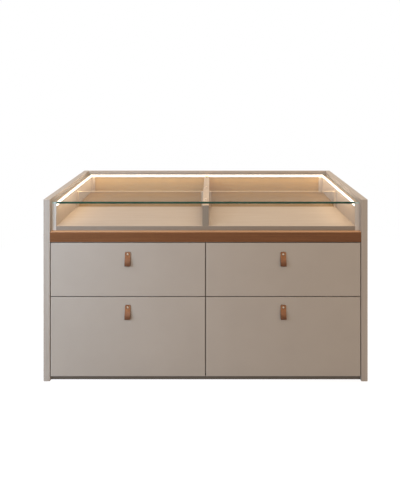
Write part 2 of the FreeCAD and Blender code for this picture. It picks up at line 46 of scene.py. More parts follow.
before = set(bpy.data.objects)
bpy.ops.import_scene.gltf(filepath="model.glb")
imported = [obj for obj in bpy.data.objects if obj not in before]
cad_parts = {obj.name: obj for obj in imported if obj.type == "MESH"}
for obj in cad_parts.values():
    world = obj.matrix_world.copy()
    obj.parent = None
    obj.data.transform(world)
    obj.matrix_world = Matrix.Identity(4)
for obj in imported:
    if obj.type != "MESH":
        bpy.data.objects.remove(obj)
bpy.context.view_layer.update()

DRAWERS = ("upper_left", "upper_right", "lower_left", "lower_right")
PICTURE = (400, 480)                 # width and height of the picture that the camera frames
VANISHING_POINT = (211, 80.9)        # where the island's depth lines meet in that picture
STRAP_LOW, STRAP_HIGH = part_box(DRAWERS[0] + "_strap")
STUD_LOW, STUD_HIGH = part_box(DRAWERS[0] + "_strap_screw")
CASE_LOW, CASE_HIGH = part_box("display_floor")
GLASS_LOW, GLASS_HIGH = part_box("glass_top")
GRAIN_UPRIGHT = (420, 420, 5)        # scale of a wood grain that runs up
GRAIN_ACROSS = (7, 380, 380)         # scale of one that runs from left to right
UNSCALED = (1, 1, 1)
LIP = 0.0008                         # thickness of the lipping on the case's front edges
EDGE_COSINES = (0.8, 0.5)            # between these, faces turn from flat ones to cut edges
SHADE_KEPT = (0.42, 0.35, 0.29)            # share of each channel that the leather keeps under its painted shade
END_STEPS = (-0.004, 0.002)          # from the floor's end, where the glass's edge turns pale
GLASS_IOR = 1.5
GLASS_COAT = 0.2                     # share of the glass's reflection that its coat leaves
GLASS_CLEAR = (0.98, 0.98, 0.98)     # what the glass lets through of the lamps' light


def tone(red, green, blue):
    """A colour picked on a screen, from 0 to 255, as the linear colour that a shader takes."""
    def linear(value):
        share = value / 255
        return share / 12.92 if share <= 0.04045 else ((share + 0.055) / 1.055) ** 2.4
    return tuple(linear(value) for value in (red, green, blue))


def colour(name, description, default):
    """A colour setting."""
    return FloatVectorProperty(name=name, description=description, default=default,
                               subtype="COLOR", size=3, min=0, max=1)


def length(name, description, default):
    """A length setting, in metres."""
    return FloatProperty(name=name, description=description, default=default, min=0,
                         unit="LENGTH", precision=4)


# ------------------------------------------------------------------ settings
class IslandColours(bpy.types.PropertyGroup):
    """Main colour of each finish."""
    veneer: colour("Veneer", "Greige veneer of the gables and the back", tone(168, 156, 145))
    lacquer: colour("Lacquer", "Matt lacquer of the drawer fronts", tone(168, 156, 145))
    lining: colour("Lining", "Side walls of the display case", tone(180, 164, 149))
    divider: colour("Divider", "Divider of the display case", tone(185, 160, 136))
    case_floor: colour("Case floor", "Floor board of the display case", tone(170, 154, 140))
    # painted shade: this darker brown stands in for the shade on the floor behind the low panes
    rear_floor_shade: colour("Rear floor", "Floor board behind the low panes", tone(139, 108, 68))
    case_rear: colour("Case rear", "Inner face of the back in the case", tone(166, 135, 90))
    stile: colour("Stile", "Front edges of the case's side walls", tone(192, 184, 176))
    lipping: colour("Lipping", "Front edges of the case's floor and divider", tone(132, 121, 109))
    walnut: colour("Walnut", "Brown-stained band above the drawers", tone(113, 72, 43))
    # painted light: the band's paler top stands in for the light that falls on it from above
    lit_ledge: colour("Ledge", "Top of the brown band", tone(192, 146, 109))
    board: colour("Board", "Faced boards inside the carcass", tone(128, 116, 104))
    # partly painted shade: this dark tone also stands in for the shade under the fronts and at the
    # foot
    plinth: colour("Plinth", "Darker board of the plinth", tone(80, 70, 59))
    foot: colour("Foot", "Plastic of the levelling feet", tone(38, 37, 36))
    rubber: colour("Rubber", "Rubber of the cable grommet", tone(28, 28, 28))
    drawer: colour("Drawer board", "Linen-look boards of the drawer boxes", tone(190, 176, 158))
    steel: colour("Steel", "Zinc-plated steel of the runners", tone(186, 188, 190))
    leather: colour("Leather", "Tan leather of the loops", tone(147, 98, 64))
    stud: colour("Stud", "Pale brass of the loops' studs", tone(168, 150, 130))
    glass: colour("Glass", "Tint of the glass top", (0.985, 0.985, 0.98))
    glass_edge: colour("Glass edge", "Green of the glass top's cut edges", tone(24, 66, 54))
    glass_end: colour("Glass end", "Its cut edges over the side walls", tone(178, 196, 192))
    pane: colour("Pane", "Tint of the low panes", (0.9, 0.92, 0.95))
    # painted highlight: the pale warm tone stands in for the strips' light caught in the panes'
    # cut edges
    pane_edge_glint: colour("Pane edge", "Cut edges of the low panes", tone(244, 214, 172))
    profile: colour("Profile", "Coat of the strip profiles and pane channels", tone(184, 166, 146))
    bumper: colour("Bumper", "Bumpers between the divider and the glass", tone(220, 198, 176))
    tape: colour("Tape", "Light tapes in the profiles", tone(240, 236, 222))
    driver: colour("Driver", "Power supply of the strips and its lead", tone(222, 222, 220))
    opal: colour("Opal", "Faces of the light strips", (1.0, 0.92, 0.8))
    light: colour("Light", "Warm white that the strips cast", (1.0, 0.81, 0.53))
    room: colour("Room light", "Even light of the room", (1.0, 0.92, 0.83))


class IslandSizes(bpy.types.PropertyGroup):
    """Sizes of the modelled pieces."""
    leather: length("Leather", "Thickness of a layer of the leather", 0.0026)
    leather_gap: length("Leather gap", "Gap between the two layers", 0.0001)
    split: length("Split", "Height above the fold's bottom where the layers part", 0.046)
    corner: length("Corner", "Radius of the loops' top corners", 0.005)
    crease_in: length("Crease inset", "Distance of the creases from the loops' edges", 0.0045)
    crease_deep: length("Crease depth", "Depth of the creases", 0.00025)
    crown: length("Crown", "How far the leather swells between its creases", 0.0003)
    edge_round: length("Edge round", "Radius of the loops' rubbed edges", 0.0006)
    stud_rim: length("Stud rim", "Height of the studs' straight rim", 0.0006)


class IslandStage(bpy.types.PropertyGroup):
    """Camera and lamps."""
    distance: length("Distance", "From the gables' front edges to the camera", 1.85)
    eye_height: length("Eye height", "Height of the camera above the floor", 1.482)
    aside: length("Aside", "How far the camera stands to the right of the middle", 0.0269)
    lens: FloatProperty(name="Lens", description="Focal length in millimetres", default=33.76)
    strip_glow: FloatProperty(name="Strip glow", default=2.0, min=0,
                              description="Emission strength of the strips' opal faces")
    strip_power: FloatProperty(name="Strip power", default=0.62, min=0,
                               description="Watts that each metre of strip casts into the case")
    rim_power: FloatProperty(name="Rim power", default=0.13, min=0, unit="POWER",
                             description="Power of the strips' glow above the glass")
    key_power: FloatProperty(name="Key power", default=18.0, min=0, unit="POWER",
                             description="Power of the window light from the front left")
    beam_power: FloatProperty(name="Beam power", default=4.5, min=0, unit="POWER",
                              description="Power of the narrow window light on the left end")
    warm_power: FloatProperty(name="Warm power", default=23.0, min=0, unit="POWER",
                              description="Power of the warm light from the front right")
    top_power: FloatProperty(name="Top power", default=8.0, min=0, unit="POWER",
                             description="Power of the light above the island")
    back_power: FloatProperty(name="Back power", default=60.0, min=0, unit="POWER",
                              description="Power of the light behind the island")
    surround: FloatProperty(name="Surround", default=0.78, min=0,
                            description="Strength of the room's even light")


# ------------------------------------------------------------------ node helpers
def add_node(tree, kind, inputs=None, **settings):
    """Add a shader node, set its options, and fill its inputs with sockets or plain values."""
    made = tree.nodes.new("ShaderNode" + kind)
    for name, value in settings.items():
        setattr(made, name, value)
    for name, value in (inputs or {}).items():
        if isinstance(value, bpy.types.NodeSocket):
            tree.links.new(value, made.inputs[name])
        else:
            made.inputs[name].default_value = value
    return made


def opaque(rgb):
    """A colour with full alpha."""
    return (*rgb, 1.0)


def shade(rgb, factor):
    """A colour made darker or lighter by a factor."""
    return tuple(min(channel * factor, 1.0) for channel in rgb)


def new_finish(name):
    """An empty node material with its Principled shader."""
    material = bpy.data.materials.new(name)
    material.use_nodes = True
    return material, material.node_tree, material.node_tree.nodes["Principled BSDF"]


def object_place(tree, scale):
    """Object coordinates, scaled so that one unit is about one feature."""
    coordinates = add_node(tree, "TexCoord").outputs["Object"]
    mapping = add_node(tree, "Mapping", {"Vector": coordinates, "Scale": scale})
    return mapping.outputs["Vector"]


def cover(tree, mask, under, over):
    """Lay one surface colour over another where a mask says."""
    mixer = add_node(tree, "Mix", {0: mask, 6: under, 7: over}, data_type="RGBA")
    return mixer.outputs[2]


def vary(tree, mask, rgb, low, high):
    """Make a colour darker or lighter by two factors, as a mask goes from 0 to 1."""
    return cover(tree, mask, opaque(shade(rgb, low)), opaque(shade(rgb, high)))


def ramp(tree, value, start, end):
    """Stretch a value so that it goes from 0 at the start to 1 at the end."""
    stretched = add_node(tree, "MapRange", {"Value": value, "From Min": start, "From Max": end})
    return stretched.outputs["Result"]


def past(tree, axis, start, end):
    """A mask that goes from 0 to 1 from one place to another along an axis of the island."""
    place = add_node(tree, "SeparateXYZ", {0: add_node(tree, "TexCoord").outputs["Object"]})
    return ramp(tree, place.outputs[axis], start, end)


def any_ray(tree, *kinds):
    """A mask for rays of any of some kinds."""
    path = add_node(tree, "LightPath")
    mask = path.outputs[kinds[0]]
    for kind in kinds[1:]:
        mask = add_node(tree, "Math", {0: mask, 1: path.outputs[kind]},
                        operation="MAXIMUM").outputs["Value"]
    return mask


def cut_edge(tree, across):
    """A mask for the narrow edges of a board or a sheet whose faces look along one axis."""
    facing = add_node(tree, "SeparateXYZ", {0: add_node(tree, "NewGeometry").outputs["Normal"]})
    cosine = add_node(tree, "Math", {0: facing.outputs[across]}, operation="ABSOLUTE")
    return ramp(tree, cosine.outputs["Value"], *EDGE_COSINES)


def lay_surface(tree, shader, base, rough_by, relief_by, roughness, depth, specular=0.5):
    """Give a shader its colour, and a roughness and a relief that each follow a mask."""
    low, high = roughness
    rough = add_node(tree, "MapRange", {"Value": rough_by, "To Min": low, "To Max": high})
    bump = add_node(tree, "Bump", {"Height": relief_by, "Distance": depth, "Strength": 1.0})
    tree.links.new(base, shader.inputs["Base Color"])
    tree.links.new(rough.outputs["Result"], shader.inputs["Roughness"])
    tree.links.new(bump.outputs["Normal"], shader.inputs["Normal"])
    shader.inputs["Specular IOR Level"].default_value = specular


def new_group(name, inputs, outputs):
    """A shader node group with typed sockets."""
    group = bpy.data.node_groups.new(name, "ShaderNodeTree")
    for socket, kind in inputs:
        group.interface.new_socket(socket, in_out="INPUT", socket_type="NodeSocket" + kind)
    for socket, kind in outputs:
        group.interface.new_socket(socket, in_out="OUTPUT", socket_type="NodeSocket" + kind)
    entry = group.nodes.new("NodeGroupInput")
    leave = group.nodes.new("NodeGroupOutput")
    return group, entry.outputs, leave.inputs


def place_group(tree, name, inputs):
    """Put a shared node group into a material."""
    made = tree.nodes.new("ShaderNodeGroup")
    made.node_tree = bpy.data.node_groups[name]
    for socket, value in inputs.items():
        if isinstance(value, bpy.types.NodeSocket):
            tree.links.new(value, made.inputs[socket])
        else:
            made.inputs[socket].default_value = value
    return made.outputs


# ------------------------------------------------------------------ shared effects
def make_straight_grain():
    """Streaks and pores that run along the third axis of the vector they are given."""
    group, given, result = new_group(
        "Straight Grain", [("Vector", "Vector"), ("Wander", "Float")],
        [("Streaks", "Float"), ("Pores", "Float")])
    bend = add_node(group, "TexNoise", {"Vector": given["Vector"], "Scale": 0.12, "Detail": 2.0})
    drift = add_node(group, "VectorMath", {0: bend.outputs["Color"]}, operation="SCALE")
    group.links.new(given["Wander"], drift.inputs["Scale"])
    moved = add_node(group, "VectorMath", {0: given["Vector"], 1: drift.outputs["Vector"]})
    broad = add_node(group, "TexNoise", {"Vector": moved.outputs["Vector"], "Scale": 0.35,
                                         "Detail": 3.0, "Roughness": 0.55})
    fine = add_node(group, "TexNoise", {"Vector": moved.outputs["Vector"], "Scale": 2.1,
                                        "Detail": 4.0, "Roughness": 0.6})
    both = add_node(group, "Math", {0: broad.outputs["Fac"], 1: fine.outputs["Fac"]})
    streaks = ramp(group, both.outputs["Value"], 0.7, 1.3)
    dashes = add_node(group, "TexNoise", {"Vector": moved.outputs["Vector"], "Scale": 5.0,
                                          "Detail": 1.0})
    pores = ramp(group, dashes.outputs["Fac"], 0.6, 0.72)
    group.links.new(streaks, result["Streaks"])
    group.links.new(pores, result["Pores"])


def make_fine_mottle():
    """A soft cloud and a fine speckle for surfaces that look even from afar."""
    group, given, result = new_group(
        "Fine Mottle", [("Vector", "Vector"), ("Speckle Scale", "Float")],
        [("Cloud", "Float"), ("Speckle", "Float")])
    cloud = add_node(group, "TexNoise", {"Vector": given["Vector"], "Scale": 5.0, "Detail": 3.0})
    speckle = add_node(group, "TexNoise", {"Vector": given["Vector"],
                                           "Scale": given["Speckle Scale"], "Detail": 2.0})
    for node, socket in ((cloud, "Cloud"), (speckle, "Speckle")):
        group.links.new(ramp(group, node.outputs["Fac"], 0.3, 0.7), result[socket])


def make_linen_weave():
    """The crossed threads of a linen-look facing, in the plane of the vector's first two axes."""
    group, given, result = new_group("Linen Weave", [("Vector", "Vector")],
                                     [("Threads", "Float")])
    across = add_node(group, "Mapping", {"Vector": given["Vector"], "Scale": (1.0, 0.08, 1.0)})
    along = add_node(group, "Mapping", {"Vector": given["Vector"], "Scale": (0.08, 1.0, 0.08)})
    warp = add_node(group, "TexNoise", {"Vector": across.outputs["Vector"], "Scale": 1.0})
    weft = add_node(group, "TexNoise", {"Vector": along.outputs["Vector"], "Scale": 1.0})
    both = add_node(group, "Math", {0: warp.outputs["Fac"], 1: weft.outputs["Fac"]},
                    operation="MULTIPLY")
    group.links.new(ramp(group, both.outputs["Value"], 0.12, 0.4), result["Threads"])


def make_leather_grain():
    """Small pebbles with creases between them, over a slow change of colour."""
    group, given, result = new_group(
        "Leather Grain", [("Vector", "Vector")], [("Pebbles", "Float"), ("Patina", "Float")])
    cells = add_node(group, "TexVoronoi", {"Vector": given["Vector"], "Scale": 1100.0},
                     feature="SMOOTH_F1")
    wrinkle = add_node(group, "TexNoise", {"Vector": given["Vector"], "Scale": 420.0,
                                           "Detail": 4.0})
    pebbles = add_node(group, "Math", {0: cells.outputs["Distance"],
                                       1: wrinkle.outputs["Fac"]})
    patina = add_node(group, "TexNoise", {"Vector": given["Vector"], "Scale": 70.0,
                                          "Detail": 3.0, "Roughness": 0.6})
    group.links.new(pebbles.outputs["Value"], result["Pebbles"])
    group.links.new(ramp(group, patina.outputs["Fac"], 0.3, 0.7), result["Patina"])


# ------------------------------------------------------------------ finishes
def mottling(tree, speckle):
    """The cloud and the speckle of a surface that looks even from afar."""
    return place_group(tree, "Fine Mottle", {"Vector": object_place(tree, UNSCALED),
                                             "Speckle Scale": speckle})


def graining(tree, scale, wander):
    """The streaks and the pores of a straight grain."""
    return place_group(tree, "Straight Grain", {"Vector": object_place(tree, scale),
                                                "Wander": wander})


def speckled_finish(name, rgb, speckle, tones, roughness, depth, rough_by="Speckle"):
    """An even surface with a fine speckle in its colour, its sheen and its relief."""
    material, tree, shader = new_finish(name)
    mottle = mottling(tree, speckle)
    base = vary(tree, mottle["Speckle"], rgb, *tones)
    lay_surface(tree, shader, base, mottle[rough_by], mottle["Speckle"], roughness, depth)
    return material


def board_finish(name, rgb):
    """Faced board inside the carcass."""
    return speckled_finish(name, rgb, speckle=700.0, tones=(0.95, 1.05),
                           roughness=(0.5, 0.62), depth=0.00003, rough_by="Cloud")


def leather_edge_finish(rgb):
    """The cut edge of the leather, rubbed smooth and darker, and darkened further by painted
    shade.
    """
    # partly painted shade: besides its burnish, the edge stands in for the shade on the loops'
    # sides
    return speckled_finish("leather_edge", rgb, speckle=1500.0, tones=(0.28, 0.38),
                           roughness=(0.34, 0.46), depth=0.00005)


def plastic_finish(name, rgb, roughness, speckle=800.0):
    """Moulded plastic or rubber with a fine spark-eroded texture."""
    return speckled_finish(name, rgb, speckle, tones=(0.93, 1.05),
                           roughness=(roughness - 0.05, roughness + 0.05), depth=0.00004)


def veneer_finish(name, rgb, scale, contrast=0.09, lipping=None, front=CASE_LOW.y, rear=None,
                  shade_from=CASE_HIGH.y):
    """Fine straight-grained veneer; its grain runs along the axis with the smallest scale.

    A board can have a front edge or face in another tone, such as lipping, up to the glass top,
    and a rear part in a third tone, which is painted shade.
    """
    material, tree, shader = new_finish(name)
    streaks = graining(tree, scale, wander=0.6)["Streaks"]

    def grained(rgb):
        return vary(tree, streaks, rgb, 1 - contrast, 1 + contrast)

    base = grained(rgb)
    if lipping:
        face = past(tree, "Y", front + LIP, front + LIP / 2)
        below = past(tree, "Z", GLASS_LOW.z, GLASS_LOW.z - LIP)
        lipped = add_node(tree, "Math", {0: face, 1: below}, operation="MULTIPLY")
        base = cover(tree, lipped.outputs["Value"], base, grained(lipping))
    # painted shade: the rear part's third tone stands in for the shade behind the low panes
    if rear:
        base = cover(tree, past(tree, "Y", shade_from, shade_from + LIP), base, grained(rear))
    lay_surface(tree, shader, base, streaks, streaks, roughness=(0.56, 0.46), depth=0.00008,
                specular=0.35)
    return material


def walnut_finish(rgb, lit_ledge_rgb):
    """Satin brown-stained veneer with horizontal grain and short dark pores, and painted light on
    its top.
    """
    material, tree, shader = new_finish("walnut")
    grain = graining(tree, GRAIN_ACROSS, wander=1.2)
    streaks, pores = grain["Streaks"], grain["Pores"]
    face = cover(tree, pores, vary(tree, streaks, rgb, 0.8, 1.18), opaque(shade(rgb, 0.62)))
    # painted light: the top face is made paler than the front, as if lit from above
    lit_ledge = vary(tree, streaks, lit_ledge_rgb, 0.92, 1.08)
    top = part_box("walnut_band")[1].z
    base = cover(tree, past(tree, "Z", top - LIP, top - LIP / 2), face, lit_ledge)
    lay_surface(tree, shader, base, pores, streaks, roughness=(0.36, 0.6), depth=0.0001,
                specular=0.2)
    return material


def lacquer_finish(rgb):
    """Matt lacquer with a faint cloud and the finest orange peel, and painted shade on its cut
    edges.
    """
    material, tree, shader = new_finish("front_lacquer")
    mottle = mottling(tree, speckle=900.0)
    face = vary(tree, mottle["Cloud"], rgb, 0.975, 1.025)
    # painted shade: darker cut edges stand in for the shade in the gaps between the fronts
    base = cover(tree, cut_edge(tree, "Y"), face, opaque(shade(rgb, 0.55)))
    lay_surface(tree, shader, base, mottle["Speckle"], mottle["Speckle"],
                roughness=(0.5, 0.58), depth=0.00002, specular=0.35)
    return material


def drawer_board_finish(rgb):
    """Linen-look drawer board."""
    material, tree, shader = new_finish("drawer_board")
    vector = object_place(tree, (900, 900, 900))
    threads = place_group(tree, "Linen Weave", {"Vector": vector})["Threads"]
    base = vary(tree, threads, rgb, 0.9, 1.06)
    lay_surface(tree, shader, base, threads, threads, roughness=(0.62, 0.5), depth=0.00006)
    return material


def leather_finish(rgb):
    """Tan leather with a fine pebble and a slow patina, and painted shade near the fold and stud.
    """
    material, tree, shader = new_finish("leather")
    grain = place_group(tree, "Leather Grain", {"Vector": object_place(tree, UNSCALED)})
    in_shade = [channel * kept for channel, kept in zip(rgb, SHADE_KEPT)]
    unshaded, dark = [vary(tree, grain["Patina"], state, 0.88, 1.12) for state in (rgb, in_shade)]
    # painted shade: darker towards the fold's underside and round the stud, where little light
    # falls
    handled = add_node(tree, "Attribute", attribute_name="handled").outputs["Fac"]
    base = cover(tree, handled, unshaded, dark)
    lay_surface(tree, shader, base, grain["Pebbles"], grain["Pebbles"], roughness=(0.46, 0.62),
                depth=0.0002, specular=0.3)
    return material


def metal_finish(name, rgb, roughness, scale):
    """Metal with fine lines along the third axis of the scaled vector."""
    material, tree, shader = new_finish(name)
    streaks = graining(tree, scale, wander=0.0)["Streaks"]
    lay_surface(tree, shader, vary(tree, streaks, rgb, 0.92, 1.05), streaks, streaks,
                roughness=(roughness - 0.06, roughness + 0.06), depth=0.00001)
    shader.inputs["Metallic"].default_value = 1.0
    return material


def opal_finish(rgb, power):
    """Opal diffuser, lit from behind, with a faint unevenness of the diodes behind it."""
    material, tree, shader = new_finish("opal")
    glow = vary(tree, mottling(tree, speckle=60.0)["Speckle"], rgb, 0.97, 1.0)
    tree.links.new(glow, shader.inputs["Emission Color"])
    tree.links.new(glow, shader.inputs["Base Color"])
    shader.inputs["Emission Strength"].default_value = power
    shader.inputs["Roughness"].default_value = 0.4
    return material


def glass_finish(name, across, tint, edge_rgb, end_rgb):
    """Clear glass, across one axis, with coloured cut edges; it lets the lamps' light through.

    The edges have another tone at both ends, past the inner faces of the case's side walls.
    """
    material, tree, shader = new_finish(name)
    place = add_node(tree, "SeparateXYZ", {0: add_node(tree, "TexCoord").outputs["Object"]})
    aside = add_node(tree, "Math", {0: place.outputs["X"]}, operation="ABSOLUTE")
    at_end = ramp(tree, aside.outputs["Value"], *(CASE_HIGH.x + step for step in END_STEPS))
    rim = cover(tree, at_end, opaque(edge_rgb), opaque(end_rgb))
    tree.links.new(rim, shader.inputs["Base Color"])
    shader.inputs["Roughness"].default_value = 0.12
    shader.inputs["Specular IOR Level"].default_value = 0.25
    bend = add_node(tree, "BsdfRefraction", {"Color": opaque(tint), "IOR": GLASS_IOR,
                                             "Roughness": 0.0})
    mirror = add_node(tree, "BsdfGlossy", {"Color": (1, 1, 1, 1), "Roughness": 0.0})
    glance = add_node(tree, "Fresnel", {"IOR": GLASS_IOR})
    coated = add_node(tree, "Math", {0: glance.outputs["Fac"], 1: GLASS_COAT},
                      operation="MULTIPLY")
    sheet = add_node(tree, "MixShader", {0: coated.outputs["Value"],
                                         1: bend.outputs["BSDF"], 2: mirror.outputs["BSDF"]})
    glass = add_node(tree, "MixShader", {0: cut_edge(tree, across),
                                         1: sheet.outputs["Shader"], 2: shader.outputs["BSDF"]})
    clear = add_node(tree, "BsdfTransparent", {"Color": opaque(GLASS_CLEAR)})
    passing = any_ray(tree, "Is Shadow Ray", "Is Diffuse Ray")
    whole = add_node(tree, "MixShader", {0: passing, 1: glass.outputs["Shader"],
                                         2: clear.outputs["BSDF"]})
    tree.links.new(whole.outputs["Shader"], tree.nodes["Material Output"].inputs["Surface"])
    return material


def dress(material, *nodes):
    """Give CAD nodes a finish in place of their plain one."""
    for name in nodes:
        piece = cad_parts[name]
        piece.data.materials.clear()
        piece.data.materials.append(material)


# ------------------------------------------------------------------ modelling helpers
def start_alone():
    """Leave edit mode if needed and deselect everything, so that the next piece is alone."""
    if bpy.context.object and bpy.context.object.mode != "OBJECT":
        bpy.ops.object.mode_set(mode="OBJECT")
    bpy.ops.object.select_all(action="DESELECT")


def pick(piece, wanted):
    """Go to edit mode with only the vertices selected that a test wants."""
    bpy.ops.object.mode_set(mode="OBJECT")
    bpy.context.tool_settings.mesh_select_mode = (True, False, False)
    mesh = piece.data
    for elements in (mesh.vertices, mesh.edges, mesh.polygons):
        elements.foreach_set("select", [False] * len(elements))
    for vertex in mesh.vertices:
        vertex.select = wanted(vertex)
    bpy.ops.object.mode_set(mode="EDIT")


def apply_modifier(piece, kind, **settings):
    """Add a modifier, set it and apply it."""
    modifier = piece.modifiers.new(kind.title(), kind)
    for name, value in settings.items():
        setattr(modifier, name, value)
    bpy.ops.object.modifier_apply(modifier=modifier.name)


def copy_to(piece, name, offset):
    """A copy with a mesh of its own, whose place is in that mesh."""
    twin = piece.copy()
    twin.data = piece.data.copy()
    twin.name = name
    twin.data.name = name
    twin.data.transform(Matrix.Translation(offset))
    bpy.context.scene.collection.objects.link(twin)
    return twin


def hang_on_drawers(piece, word, ending):
    """Put a copy of a finished piece where each drawer has its like, to ride on that drawer."""
    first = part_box(DRAWERS[0] + ending)[0]
    for drawer in DRAWERS:
        twin = copy_to(piece, "%s_%s" % (drawer, word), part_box(drawer + ending)[0] - first)
        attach(twin, drawer + "_drawer")
        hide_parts(drawer + ending)
    bpy.data.objects.remove(piece)


def hang_lamp(name, place, size, power, rgb, target):
    """A flat rectangular lamp that faces a target."""
    lamp = bpy.data.lights.new(name, "AREA")
    lamp.shape = "RECTANGLE"
    lamp.size, lamp.size_y = size
    lamp.energy = power
    lamp.color = rgb
    holder = bpy.data.objects.new(name, lamp)
    bpy.context.scene.collection.objects.link(holder)
    holder.location = place
    look = Vector(target) - Vector(place)
    holder.rotation_euler = look.to_track_quat("-Z", "Y").to_euler()
    return holder


# ------------------------------------------------------------------ operators
class ISLAND_OT_shared_effects(bpy.types.Operator):
    """Build the node groups that several finishes use"""
    bl_idname = "island.shared_effects"
    bl_label = "Shared Effects"

    def execute(self, context):
        make_straight_grain()
        make_fine_mottle()
        make_linen_weave()
        make_leather_grain()
        return {"FINISHED"}


class ISLAND_OT_gables_and_back(bpy.types.Operator):
    """Veneer the gables and the back"""
    bl_idname = "island.gables_and_back"
    bl_label = "Gables and Back"

    def execute(self, context):
        colours = context.scene.island_colours
        dress(veneer_finish("gable_veneer", colours.veneer, GRAIN_UPRIGHT),
              "gable_left", "gable_right")
        dress(veneer_finish("back_veneer", colours.veneer, GRAIN_UPRIGHT,
                            lipping=colours.case_rear, front=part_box("back_panel")[0].y),
              "back_panel")
        return {"FINISHED"}


class ISLAND_OT_carcass(bpy.types.Operator):
    """Finish the boards, feet and grommet of the carcass"""
    bl_idname = "island.carcass"
    bl_label = "Carcass"

    def execute(self, context):
        colours = context.scene.island_colours
        dress(board_finish("carcass_board", colours.board), "base_board", "centre_partition",
              "carcass_top")
        # the plinth's darker board partly stands in for shade under the drawer fronts
        dress(board_finish("plinth_board", colours.plinth), "plinth")
        dress(plastic_finish("foot_plastic", colours.foot, roughness=0.45), "levelling_feet")
        dress(plastic_finish("black_rubber", colours.rubber, roughness=0.6), "cable_grommet")
        return {"FINISHED"}


class ISLAND_OT_walnut_band(bpy.types.Operator):
    """Finish the brown band above the drawers"""
    bl_idname = "island.walnut_band"
    bl_label = "Walnut Band"

    def execute(self, context):
        colours = context.scene.island_colours
        dress(walnut_finish(colours.walnut, colours.lit_ledge), "walnut_band")
        return {"FINISHED"}


class ISLAND_OT_display_case(bpy.types.Operator):
    """Line the display case and glaze it"""
    bl_idname = "island.display_case"
    bl_label = "Display Case"

    def execute(self, context):
        colours = context.scene.island_colours
        dress(veneer_finish("case_lining", colours.lining, GRAIN_UPRIGHT, contrast=0.05,
                            lipping=colours.stile),
              "display_wall_left", "display_wall_right", "corner_posts")
        dress(veneer_finish("case_divider", colours.divider, GRAIN_UPRIGHT, contrast=0.05,
                            lipping=colours.lipping), "display_divider")
        # the floor's rear part, behind the low panes, takes painted shade
        dress(veneer_finish("case_floor", colours.case_floor, GRAIN_ACROSS, contrast=0.05,
                            lipping=colours.lipping, rear=colours.rear_floor_shade,
                            shade_from=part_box("glass_pane_left")[1].y), "display_floor")
        dress(glass_finish("clear_glass", "Z", colours.glass, colours.glass_edge,
                           colours.glass_end), "glass_top")
        # the panes' cut edges carry a painted highlight
        dress(glass_finish("clear_glass_pane", "Y", colours.pane, colours.pane_edge_glint,
                           colours.pane_edge_glint), "glass_pane_left", "glass_pane_right")
        dress(plastic_finish("profile_coat", colours.profile, roughness=0.4, speckle=1600.0),
              "pane_channels", "led_profiles")
        dress(plastic_finish("clear_bumper", colours.bumper, roughness=0.4), "divider_bumpers")
        return {"FINISHED"}


class ISLAND_OT_light_strips(bpy.types.Operator):
    """Light the opal strips and finish the parts that feed them"""
    bl_idname = "island.light_strips"
    bl_label = "Light Strips"

    lamp_high = 0.012                # width of each lamp's narrow side
    lamp_ahead = 0.02                # from the diffusers to the lamps in the case
    lamp_droop = 2.0                 # how far they look down for each unit that they look in
    side_share = 0.64                # light of the side strips beside that of the rear one
    rim_ahead = 0.06                 # from the gables and the back to the lamps above the glass

    def light_case(self, rgb, power):
        """Unseen lamps along the diffusers, which light the case as the strips do."""
        low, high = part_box("led_diffusers")
        centre = (low + high) / 2
        long = high.y - low.y
        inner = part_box("display_wall_right")[0].x - self.lamp_ahead
        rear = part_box("corner_posts")[1].y - self.lamp_ahead
        for name, x, y, across, look, share in (
                ("strip_lamp_left", -inner, centre.y, long, (1, 0), self.side_share),
                ("strip_lamp_right", inner, centre.y, long, (-1, 0), self.side_share),
                ("strip_lamp_rear", 0, rear, 2 * inner, (0, -1), 1)):
            target = (x + look[0], y + look[1], centre.z - self.lamp_droop)
            self.hide_lamp(hang_lamp(name, (x, y, centre.z), (across, self.lamp_high),
                                     share * power * across, rgb, target))

    def light_rims(self, rgb, power):
        """The strips' glow on the gables' inner faces above the glass."""
        height = (GLASS_HIGH.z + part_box("gable_left")[1].z) / 2
        middle = (GLASS_LOW.y + GLASS_HIGH.y) / 2
        long = GLASS_HIGH.y - GLASS_LOW.y - 2 * self.rim_ahead
        for name, way in (("rim_lamp_left", -1), ("rim_lamp_right", 1)):
            place = (way * (GLASS_HIGH.x - self.rim_ahead), middle, height)
            self.hide_lamp(hang_lamp(name, place, (long, self.lamp_high), power, rgb,
                                     (way, middle, height)))

    def hide_lamp(self, lamp):
        """Let a lamp light the surfaces without being seen, mirrored or seen through glass."""
        lamp.visible_camera = False
        lamp.visible_glossy = False
        lamp.visible_transmission = False

    def execute(self, context):
        colours = context.scene.island_colours
        stage = context.scene.island_stage
        dress(opal_finish(colours.opal, stage.strip_glow), "led_diffusers")
        self.light_case(colours.light, stage.strip_power)
        self.light_rims(colours.room, stage.rim_power)
        dress(plastic_finish("light_tape", colours.tape, roughness=0.5), "led_tapes")
        dress(plastic_finish("driver_plastic", colours.driver, roughness=0.5),
              "led_driver", "led_lead")
        return {"FINISHED"}


class ISLAND_OT_drawers(bpy.types.Operator):
    """Lacquer the fronts and finish boxes and runners"""
    bl_idname = "island.drawers"
    bl_label = "Drawers"

    def execute(self, context):
        colours = context.scene.island_colours
        lacquer = lacquer_finish(colours.lacquer)
        board = drawer_board_finish(colours.drawer)
        steel = metal_finish("runner_steel", colours.steel, roughness=0.34, scale=(700, 700, 6))
        for drawer in DRAWERS:
            dress(lacquer, drawer + "_front")
            dress(board, drawer + "_box_sides", drawer + "_box_ends", drawer + "_box_bottom")
            dress(steel, drawer + "_runner_inner", drawer + "_runner_middle")
        dress(steel, "runner_cabinet_members")
        return {"FINISHED"}


